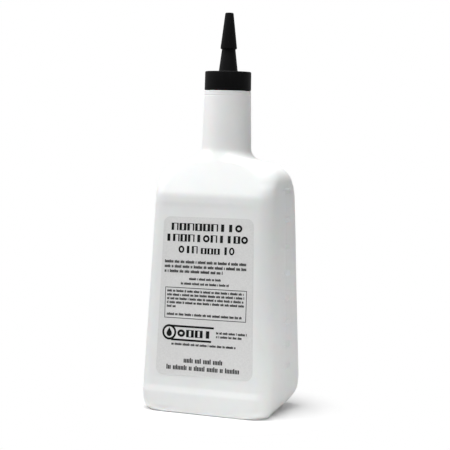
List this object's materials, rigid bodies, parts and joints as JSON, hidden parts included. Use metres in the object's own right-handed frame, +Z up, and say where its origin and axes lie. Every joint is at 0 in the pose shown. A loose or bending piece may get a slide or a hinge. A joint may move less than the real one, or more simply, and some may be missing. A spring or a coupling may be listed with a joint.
{
  "type": "oil bottle with dispensing nozzle",
  "caption": "Tall oblong blow-moulded oil bottle that narrows to a round neck, with a screw-on tapered dripping nozzle and a push-on tip cover.",
  "frame": {"origin": "middle of the base, on the surface it stands on", "axes": "+Z up along the neck's axis, -Y out of the label's face, +X towards the narrow side with the fill marks"},
  "size_m": [0.0999, 0.0741, 0.2857],
  "materials": {
    "bottle_white": "satin, slightly waxy, faint mould texture",
    "label_film": "matt, fine grey grain",
    "label_ink": "flat black print",
    "seal_foam": "soft foamed sheet",
    "cap_black": "satin moulded plastic",
    "tip_black": "satin moulded plastic"
  },
  "bodies": {
    "bottle_body": {"bottle": "bottle_white", "label": "label_film", "label_print": "label_ink"},
    "seal_body": {"seal_ring": "seal_foam"},
    "cap_body": {"nozzle_cap": "cap_black"},
    "tip_body": {"tip_cover": "tip_black"}
  },
  "joints": [
    {"name": "cap_lift", "type": "slide", "parent": "bottle_body", "child": "seal_body", "axis": [0, 0, 1], "range_m": [0, 0.0127]},
    {"name": "cap_turn", "type": "hinge", "parent": "seal_body", "child": "cap_body", "pos_m": [0, 0, 0.236], "axis": [0, 0, 1], "range_deg": [0, 1080]},
    {"name": "tip_pull", "type": "slide", "parent": "cap_body", "child": "tip_body", "axis": [0, 0, 1], "range_m": [0, 0.028]}
  ],
  "couplings": [
    {"joint": "cap_lift", "follows": "cap_turn", "m_per_rad": 0.00067372}
  ]
}
